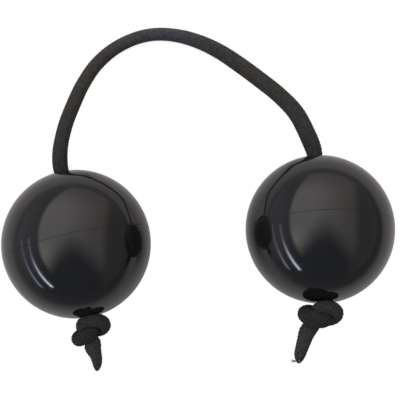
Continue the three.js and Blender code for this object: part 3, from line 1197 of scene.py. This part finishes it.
for side, pieces in ENDS.items():
    for piece in pieces:
        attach(piece, JOINTS[f"{side}_neck_tilt"]["child"])
for name, piece in CORDS.items():
    declare_stretch(name, piece)
print("cord stretches declared:", len(CORDS))

# %% [markdown]
# A moulded ball is two half shells, glued where they lap at the equator. A half is its wall's
# outline turned round the axis. The outline is written once: from the rim over the outside to the
# pole, round the mouth of the hole, past the thicker rim inside it and back along the inside.

# %% The shells' outline
WALL = 2.2 * MM
LAP_LENGTH = 2 * MM
LAP_GAP = 0.3 * MM
SEAM_HALF_GAP = 0.025 * MM
SEAM_ROUNDING = 0.06 * MM
HOLE_RADIUS = 3.05 * MM
MOUTH_ROUNDING = 0.8 * MM
HOLE_RIM_WIDTH = 2 * MM
HOLE_RIM_HEIGHT = 1.2 * MM
INNER_RADIUS = BALL_RADIUS - WALL
LAP_MIDDLE = INNER_RADIUS + (WALL - LAP_GAP) / 2
LAP_TOP = SEAM_HALF_GAP + LAP_LENGTH
# Steps on each arc, and the degrees that the outside leaves free above the rounded seam.
SEAM_STEPS = 4
OUTSIDE_STEPS = 56
MOUTH_STEPS = 8
INSIDE_STEPS = 40
SEAM_EASE = 0.3


def arc(centre, radius, start, end, steps):
    """Points of an arc in the outline's plane, angles in degrees from the ball's equator."""
    angles = np.radians(np.linspace(start, end, steps + 1))
    return [(centre[0] + radius * math.cos(a), centre[1] + radius * math.sin(a)) for a in angles]


def latitude(radius, height):
    return math.degrees(math.asin(height / radius))


def outline(lipped):
    """(distance from the axis, distance from the equator) round one half's wall."""
    mouth_edge = HOLE_RADIUS + MOUTH_ROUNDING
    mouth_height = math.sqrt((BALL_RADIUS - MOUTH_ROUNDING) ** 2 - mouth_edge**2)
    mouth_start = math.degrees(math.atan2(mouth_height, mouth_edge))
    rim_outer = HOLE_RADIUS + HOLE_RIM_WIDTH
    rim_foot = math.sqrt(INNER_RADIUS**2 - rim_outer**2)
    seam_corner = (BALL_RADIUS - SEAM_ROUNDING, SEAM_HALF_GAP + SEAM_ROUNDING)
    outside_start = latitude(BALL_RADIUS, seam_corner[1]) + SEAM_EASE
    inside_start = latitude(INNER_RADIUS, rim_foot)
    points = arc(seam_corner, SEAM_ROUNDING, -90, 0, SEAM_STEPS)
    points += arc((0, 0), BALL_RADIUS, outside_start, mouth_start, OUTSIDE_STEPS)
    points += arc((mouth_edge, mouth_height), MOUTH_ROUNDING, mouth_start, 180, MOUTH_STEPS)[1:]
    points += [(HOLE_RADIUS, rim_foot - HOLE_RIM_HEIGHT), (rim_outer, rim_foot - HOLE_RIM_HEIGHT)]
    if lipped:
        points += arc((0, 0), INNER_RADIUS, inside_start, 0, INSIDE_STEPS)
        lip_inside = math.sqrt(INNER_RADIUS**2 - LAP_TOP**2)
        return points + [(lip_inside, -LAP_TOP), (LAP_MIDDLE, -LAP_TOP), (LAP_MIDDLE, SEAM_HALF_GAP)]
    recess_top = LAP_TOP + LAP_GAP
    recess = LAP_MIDDLE + LAP_GAP
    points += arc((0, 0), INNER_RADIUS, inside_start, latitude(INNER_RADIUS, recess_top), INSIDE_STEPS)
    return points + [(recess, recess_top), (recess, SEAM_HALF_GAP)]


print("outline points:", len(outline(True)), "and", len(outline(False)))

# %% [markdown]
# The outline is turned round the ball's axis. Rings of points with four-sided faces between them
# meet where they began, so the shell is closed all round. The corners of the lip and the rim stay
# sharp, and everything else is shaded smooth.

# %% Turning the outline into a shell
SHELL_STEPS = 180
CREASE = math.radians(28)


def turned_shell(name, side, lipped):
    """One half shell. The lipped half is the knot's, so its outline points away from the cord."""
    radial, height = np.array(outline(lipped)).T
    count = len(radial)
    angles = np.arange(SHELL_STEPS) / SHELL_STEPS * 2 * math.pi
    away = np.full(SHELL_STEPS, -1 if lipped else 1)
    directions = (np.cos(angles), radial), (away, height), (np.sin(angles), radial)
    places = np.stack([np.outer(*direction) for direction in directions], axis=-1)
    shape = bmesh.new()
    vertices = [shape.verts.new(point) for point in placed(side, places.reshape(-1, 3))]
    for i in range(SHELL_STEPS):
        here, there = i * count, (i + 1) % SHELL_STEPS * count
        for j in range(count):
            k = (j + 1) % count
            corners = (here + j, here + k, there + k, there + j)
            shape.faces.new([vertices[corner] for corner in corners])
    bmesh.ops.recalc_face_normals(shape, faces=shape.faces)
    mesh = bpy.data.meshes.new(name)
    shape.to_mesh(mesh)
    shape.free()
    mesh.shade_smooth()
    mesh.set_sharp_from_angle(angle=CREASE)
    return add_object(name, mesh)


SHELLS = {}
for side in SIDES:
    SHELLS[f"{side}_cord_side_shell"] = turned_shell(f"{side}_upper_half_ball", side, False)
    SHELLS[f"{side}_knot_side_shell"] = turned_shell(f"{side}_lower_half_ball", side, True)
print("shell faces:", [len(shell.data.polygons) for shell in SHELLS.values()])

# %% [markdown]
# The plastic is a hard glossy black. A ball that is swung against another for months is not a
# perfect mirror: it has hairline scratches in every direction and a faint haze of handling. The
# steel beads have the same kind of wear, so the scratches are a group of their own.

# %% Wear, for everything hard and glossy
# Each layer of scratches is turned its own way and drawn out into hairlines.
SCRATCH_TURNS = (0.4, 1.5, 2.6)
SCRATCH_SKEW = (1, 0.7, 1.3)
SCRATCH_STRETCH = (1.0, 14.0, 1.0)
SCRATCH_LEVEL = 0.71
SCRATCH_ROUGHNESS = 0.25
SCRATCH_DEPTH = 0.3


def scratches(nodes, place, size, turn):
    """1 on the hairlines that run one way, and 0 beside them."""
    rotation = [turn * share for share in SCRATCH_SKEW]
    turned = {"Vector": place, "Rotation": rotation, "Scale": SCRATCH_STRETCH}
    streaks = patches(nodes, nodes.out("ShaderNodeMapping", turned), size, detail=2.0)
    return nodes.math("GREATER_THAN", streaks, SCRATCH_LEVEL)


def wear_group():
    nodes, given = new_tree(
        "ShaderNodeTree",
        "handled surface",
        {
            "Scratch size": ("Float", 90.0),
            "Haze size": ("Float", 45.0),
            "Clean": ("Float", 0.06),
            "Hazy": ("Float", 0.12),
        },
        {"Roughness": "Float", "Height": "Float"},
    )
    place = object_place(nodes)
    size = given["Scratch size"]
    haze = patches(nodes, place, given["Haze size"], detail=4.0)
    first, second, third = (scratches(nodes, place, size, turn) for turn in SCRATCH_TURNS)
    worn = nodes.math("MAXIMUM", first, nodes.math("MAXIMUM", second, third))
    share = nodes.math("MULTIPLY_ADD", worn, SCRATCH_ROUGHNESS, haze)
    spread = nodes.math("SUBTRACT", given["Hazy"], given["Clean"])
    roughness = nodes.math("MULTIPLY_ADD", share, spread, given["Clean"])
    height = nodes.math("SUBTRACT", haze, nodes.math("MULTIPLY", worn, SCRATCH_DEPTH))
    nodes.add("NodeGroupOutput", {"Roughness": roughness, "Height": height})
    return nodes.tree


WEAR = wear_group()
print("wear inputs:", [item.name for item in WEAR.interface.items_tree if item.in_out == "INPUT"])

# %% [markdown]
# The plastic is a glossy near black. The beads are bare steel, tumbled until they are smooth. Both
# take their roughness and their fine relief from the wear group, each with its own values.

# %% Plastic and steel materials
PLASTIC_BLACK = (0.0100, 0.0102, 0.0108, 1)
STEEL_GREY = (0.55, 0.56, 0.58, 1)


def worn_material(name, colour, metallic, clean, hazy, relief):
    material, nodes = new_material(name)
    wear = nodes.add("ShaderNodeGroup", {"Clean": clean, "Hazy": hazy}, node_tree=WEAR).outputs
    surface(
        nodes,
        Base_Color=colour,
        Metallic=metallic,
        Roughness=wear["Roughness"],
        Normal=bumped(nodes, wear["Height"], distance=relief, strength=0.5),
    )
    return material


BALL_PLASTIC = worn_material(
    "glossy_black_plastic", PLASTIC_BLACK, metallic=0.0, clean=0.05, hazy=0.14, relief=0.004 * MM
)
BEAD_STEEL = worn_material(
    "tumbled_steel", STEEL_GREY, metallic=1.0, clean=0.2, hazy=0.4, relief=0.01 * MM
)

for node, shell in SHELLS.items():
    shell.data.materials.append(BALL_PLASTIC)
    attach(shell, f"{node.split('_')[0]}_ball")
    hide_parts(node)
print("made materials", BALL_PLASTIC.name, "and", BEAD_STEEL.name)

# %% [markdown]
# The rattle is a handful of steel beads that lie in the bottom of each ball. The part says where
# each one lies, so the tree only has to put one round bead at each of those places. Tumbling
# wears them unevenly, so each is turned by chance and is up to 3% smaller.

# %% The beads
BEAD_RADIUS = 2.5 * MM
BEAD_COUNT = 19
ANY_TURN = (6.28, 6.28, 6.28)


def bead_tree():
    nodes, given = geometry_tree(
        "rattle beads",
        {
            "Bead radius": ("Float", BEAD_RADIUS),
            "Smallest": ("Float", 0.97),
            "Seed": ("Int", 3),
            "Material": ("Material", None),
        },
    )
    bead = nodes.out("GeometryNodeMeshIcoSphere", {"Radius": given["Bead radius"], "Subdivisions": 4})
    turns = {0: (0, 0, 0), 1: ANY_TURN, "Seed": given["Seed"]}
    turn = nodes.out("FunctionNodeRandomValue", turns, data_type="FLOAT_VECTOR")
    sizes = {2: given["Smallest"], 3: 1.0, "Seed": given["Seed"]}
    size = nodes.add("FunctionNodeRandomValue", sizes, data_type="FLOAT").outputs[1]
    seated = {"Points": given["Geometry"], "Instance": bead, "Rotation": turn, "Scale": size}
    finish_tree(nodes, [nodes.out("GeometryNodeInstanceOnPoints", seated)], given["Material"])
    return nodes.tree


BEADS = bead_tree()
for side in SIDES:
    names = [f"{side}_bead_{number:02d}" for number in range(1, BEAD_COUNT + 1)]
    seats = bpy.data.meshes.new("bead_seats")
    seats.from_pydata([sum(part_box(name), Vector()) / 2 for name in names], [], [])
    rattle = made_by(BEADS, f"{side}_rattle_beads", seats, {"Material": BEAD_STEEL})
    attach(rattle, f"{side}_beads")
    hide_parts(*names)
    print(f"{rattle.name}: {len(rattle.data.polygons)} faces")

# %% [markdown]
# In a soft studio every edge of light and shade is soft too. A smooth step of a value between two
# levels makes such an edge, rising or falling.

# %% Soft edges
def ramp(nodes, value, low, high, at_low=0.0, at_high=1.0):
    """A smooth step of a value between two levels."""
    levels = {"Value": value, "From Min": low, "From Max": high, "To Min": at_low, "To Max": at_high}
    return nodes.out("ShaderNodeMapRange", levels, interpolation_type="SMOOTHSTEP")


def falling(nodes, value, low, high):
    """1 below the lower level, falling smoothly to 0 at the higher one."""
    return ramp(nodes, value, low, high, 1.0, 0.0)


print("soft edges ready")

# %% [markdown]
# The object lies on a white sheet. The balls are mirrors and see it from the side: a sheet that is
# less bright than the picture's white, a little uneven, and that ends not far away. The camera sees
# through it to the white backdrop, apart from a faint shade where something touches it, and from
# below it isn't there at all. So nothing is hidden when the legs hang down from the crown. The Light
# Path node tells the rays apart. The sheet lies at the lowest point of what was made.

# %% The surface it lies on
FLOOR_HALF = 4.0
SHEET_MIDDLE = (0, 70 * MM, 0)
SHEET_REACH = (340 * MM, 215 * MM)
SHEET_FADE = (0.62, 1.2)
SHEET_WHITE = (0.76, 0.75, 0.73, 1)
SHEET_GREYER = 0.8
SHEET_CLOUDS = 14.0
BEYOND_DARK = (0.21, 0.21, 0.22, 1)
BEYOND_PAINTED_LIGHT = (0.42, 0.41, 0.40, 1)
BEYOND_LEVELS = (-0.25, 0.35)
LIGHTER_WAY = (-0.6, 0.8, 0)
CONTACT_REACH = 12 * MM
CONTACT_COVERED = (0.45, 0.95)
CONTACT_SHADE = 0.6
CONTACT_GREY = (0.10, 0.10, 0.105, 1)


def floor_material():
    material, nodes = new_material("pale_sheet")
    place = object_place(nodes)
    from_middle = nodes.vector("SUBTRACT", place, SHEET_MIDDLE)
    reached = nodes.vector("MULTIPLY", from_middle, (1 / SHEET_REACH[0], 1 / SHEET_REACH[1], 0))
    beyond = ramp(nodes, nodes.measure("LENGTH", reached), *SHEET_FADE)
    # Beyond the sheet the floor is darker, and painted light makes it paler towards the left and back.
    lighter = nodes.measure("DOT_PRODUCT", place, LIGHTER_WAY)
    room = mixed(nodes, ramp(nodes, lighter, *BEYOND_LEVELS), BEYOND_DARK, BEYOND_PAINTED_LIGHT)
    greyer = tuple(SHEET_GREYER * value for value in SHEET_WHITE)
    sheet = mixed(nodes, patches(nodes, place, SHEET_CLOUDS, detail=2.0), greyer, SHEET_WHITE)
    seen = nodes.add("ShaderNodeLightPath").outputs["Is Camera Ray"]
    colour = mixed(nodes, seen, mixed(nodes, beyond, sheet, room), CONTACT_GREY)
    open_sky = nodes.add("ShaderNodeAmbientOcclusion", {"Distance": CONTACT_REACH}).outputs["AO"]
    covered = nodes.math("SUBTRACT", 1.0, open_sky)
    shade = ramp(nodes, covered, *CONTACT_COVERED, 0.0, CONTACT_SHADE)
    opaque = nodes.out("ShaderNodeMix", {0: seen, 2: 1.0, 3: shade})
    above = nodes.math("SUBTRACT", 1.0, nodes.add("ShaderNodeNewGeometry").outputs["Backfacing"])
    surface(
        nodes,
        Base_Color=colour,
        Roughness=0.9,
        Specular_IOR_Level=0.1,
        Alpha=nodes.math("MULTIPLY", above, opaque),
    )
    return material


def make_floor(height):
    mesh = bpy.data.meshes.new("floor")
    corners = [(-1, -1), (1, -1), (1, 1), (-1, 1)]
    places = [(x * FLOOR_HALF, y * FLOOR_HALF, height) for x, y in corners]
    mesh.from_pydata(places, [], [(0, 1, 2, 3)])
    mesh.materials.append(floor_material())
    return add_object("floor", mesh)


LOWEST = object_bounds()[0][2]
make_floor(LOWEST)
print(f"floor at {LOWEST / MM:.2f} mm, sheet of {2 * SHEET_REACH[0]:.2f} by {2 * SHEET_REACH[1]:.2f} m")

# %% [markdown]
# The balls are black mirrors, so the light is designed by what they show. It is all painted on the
# room, by direction. A mirror ball seen from above shows the direction d at the place
# (dx, dy) / sqrt(2 (1 + dz)) of its picture, counted in radii, so the painting is done in those
# coordinates, rightward and upward on a ball. Every shape is a product of soft edges.

# %% Where a ball shows each direction
def seen_on_ball(nodes):
    """Rightward and upward places, in ball radii, of the direction that is being shaded."""
    direction = nodes.add("ShaderNodeTexCoord").outputs["Generated"]
    height = nodes.add("ShaderNodeSeparateXYZ", {"Vector": direction}).outputs[2]
    # A hair more than 2 keeps the root above zero for the direction straight down.
    double = nodes.math("MULTIPLY_ADD", height, 2.0, 2.001)
    place = nodes.scale(direction, nodes.math("INVERSE_SQRT", double))
    axes = nodes.add("ShaderNodeSeparateXYZ", {"Vector": place}).outputs
    return place, axes[0], axes[1]


def within(nodes, value, low, high, softness):
    """1 between two levels, falling smoothly to 0 over the softness outside each."""
    above = ramp(nodes, value, low - softness, low)
    return nodes.math("MULTIPLY", above, falling(nodes, value, high, high + softness))


def radius_from(nodes, place, centre):
    offset = nodes.vector("SUBTRACT", place, (*centre, 0))
    return nodes.measure("LENGTH", nodes.vector("MULTIPLY", offset, (1, 1, 0)))


print("helpers for the room ready")

# %% [markdown]
# A broad soft panel stands over the upper half. Its left side is an arc, its foot is highest in
# the middle, and it is dimmer and warmer at the right. Its lower left corner is brighter and
# greener.

# %% The panel
ARC_CENTRE = (0.32, 0.07)
PANEL_LEFT_ARC = 0.735
PANEL_LEFT_SOFTNESS = 0.05
PANEL_RIGHT = 0.34
PANEL_RIGHT_SOFTNESS = 0.16
PANEL_MIDDLE_FOOT = -0.03
PANEL_SIDE_FOOT = -0.36
PANEL_SIDE = 0.42
PANEL_FOOT_LEVELS = (-0.20, 0.26)
PANEL_TOP_LEVELS = (0.42, 0.74)
PANEL_TOP_SHARE = 0.28
PANEL_BRIGHT = (1.36, 1.31, 1.26, 1)
PANEL_DIM = (0.66, 0.55, 0.51, 1)
PANEL_DIM_LEVELS = (-0.15, 0.38)
PANEL_OLIVE = (2.35, 2.4, 2.1, 1)
OLIVE_RIGHT_LEVELS = (-0.42, -0.1)
OLIVE_UP_LEVELS = (-0.3, 0.1)


def panel_light(nodes, place, right, up):
    """The broad soft panel's brightness in colour."""
    radius = radius_from(nodes, place, ARC_CENTRE)
    left_side = falling(nodes, radius, PANEL_LEFT_ARC, PANEL_LEFT_ARC + PANEL_LEFT_SOFTNESS)
    right_side = falling(nodes, right, PANEL_RIGHT, PANEL_RIGHT + PANEL_RIGHT_SOFTNESS)
    sides = nodes.math("MULTIPLY", left_side, right_side)
    aside = nodes.math("ABSOLUTE", right)
    foot = ramp(nodes, aside, 0.0, PANEL_SIDE, PANEL_MIDDLE_FOOT, PANEL_SIDE_FOOT)
    above_foot = ramp(nodes, nodes.math("SUBTRACT", up, foot), *PANEL_FOOT_LEVELS)
    top = ramp(nodes, up, *PANEL_TOP_LEVELS, 1.0, PANEL_TOP_SHARE)
    shape = nodes.math("MULTIPLY", sides, nodes.math("MULTIPLY", above_foot, top))
    dimmer = mixed(nodes, ramp(nodes, right, *PANEL_DIM_LEVELS), PANEL_BRIGHT, PANEL_DIM)
    low = falling(nodes, up, *OLIVE_UP_LEVELS)
    corner = nodes.math("MULTIPLY", falling(nodes, right, *OLIVE_RIGHT_LEVELS), low)
    return nodes.scale(mixed(nodes, corner, dimmer, PANEL_OLIVE), shape)


print("panel from", PANEL_SIDE_FOOT, "to", PANEL_TOP_LEVELS[1], "radii above a ball's middle")

# %% [markdown]
# Two thin cool tubes low on the left make the curved streaks. They are arcs about the same centre
# as the panel's left side, so they run along it. Each is brightest at its lower end.

# %% The tubes
TUBES = (
    {"arc": 0.885, "low": 13.0, "high": 1.3, "tint": (0.84, 0.92, 1.08)},
    {"arc": 0.985, "low": 2.6, "high": 0.7, "tint": (1.0, 0.92, 1.15)},
)
TUBE_HALF = 0.006
TUBE_SOFTNESS = 0.010
TUBE_ENDS = (-0.56, 0.04)
TUBE_END_SOFTNESS = 0.02
TUBE_LEFT_LEVELS = (-0.1, -0.05)
TUBE_FALL_LEVELS = (-0.55, -0.1)


def tube_light(nodes, place, right, up, tube):
    """A thin tube seen as an arc, brightest at its lower end."""
    radius = radius_from(nodes, place, ARC_CENTRE)
    line = within(nodes, radius, tube["arc"] - TUBE_HALF, tube["arc"] + TUBE_HALF, TUBE_SOFTNESS)
    ends = within(nodes, up, *TUBE_ENDS, TUBE_END_SOFTNESS)
    left = falling(nodes, right, *TUBE_LEFT_LEVELS)
    shape = nodes.math("MULTIPLY", nodes.math("MULTIPLY", line, ends), left)
    strength = ramp(nodes, up, *TUBE_FALL_LEVELS, tube["low"], tube["high"])
    return nodes.scale(tube["tint"], nodes.math("MULTIPLY", shape, strength))


print("tubes:", len(TUBES))

# %% [markdown]
# The room is painted from back to front: dim walls, bluer at the left and warmer at the right,
# with the panel and the tubes added to them. The camera itself sees only the white backdrop,
# which the Light Path node keeps apart, so the picture's ground stays white.

# %% The room
ROOM_ABOVE = (0.36, 0.34, 0.335, 1)
ROOM_BELOW = (0.15, 0.165, 0.21, 1)
ROOM_LEVELS = (-0.3, 0.6)
ROOM_LEFT = (0.46, 0.47, 0.56, 1)
LEFT_LEVELS = (-0.6, -0.35)
LEFT_UP_LEVELS = (-0.85, 0.15)
ROOM_RIGHT = (0.30, 0.295, 0.28, 1)
RIGHT_LEVELS = (0.25, 0.5)
BACKDROP = (1.0, 1.0, 1.0, 1)


def make_room():
    world = bpy.data.worlds.new("studio")
    bpy.context.scene.world = world
    world.use_nodes = True
    world.node_tree.nodes.clear()
    nodes = Nodes(world.node_tree)
    place, right, up = seen_on_ball(nodes)
    lighter = nodes.measure("DOT_PRODUCT", place, LIGHTER_WAY)
    walls = mixed(nodes, ramp(nodes, lighter, *ROOM_LEVELS), ROOM_BELOW, ROOM_ABOVE)
    raised = ramp(nodes, up, *LEFT_UP_LEVELS)
    leftward = nodes.math("MULTIPLY", falling(nodes, right, *LEFT_LEVELS), raised)
    walls = mixed(nodes, leftward, walls, ROOM_LEFT)
    walls = mixed(nodes, ramp(nodes, right, *RIGHT_LEVELS), walls, ROOM_RIGHT)
    light = nodes.vector("ADD", walls, panel_light(nodes, place, right, up))
    for tube in TUBES:
        light = nodes.vector("ADD", light, tube_light(nodes, place, right, up, tube))
    seen = nodes.add("ShaderNodeLightPath").outputs["Is Camera Ray"]
    background = nodes.out("ShaderNodeBackground", {"Color": mixed(nodes, seen, light, BACKDROP)})
    nodes.add("ShaderNodeOutputWorld", {"Surface": background})


make_room()
bpy.context.scene.view_settings.view_transform = "Standard"
print("room nodes:", len(bpy.context.scene.world.node_tree.nodes))

# %% [markdown]
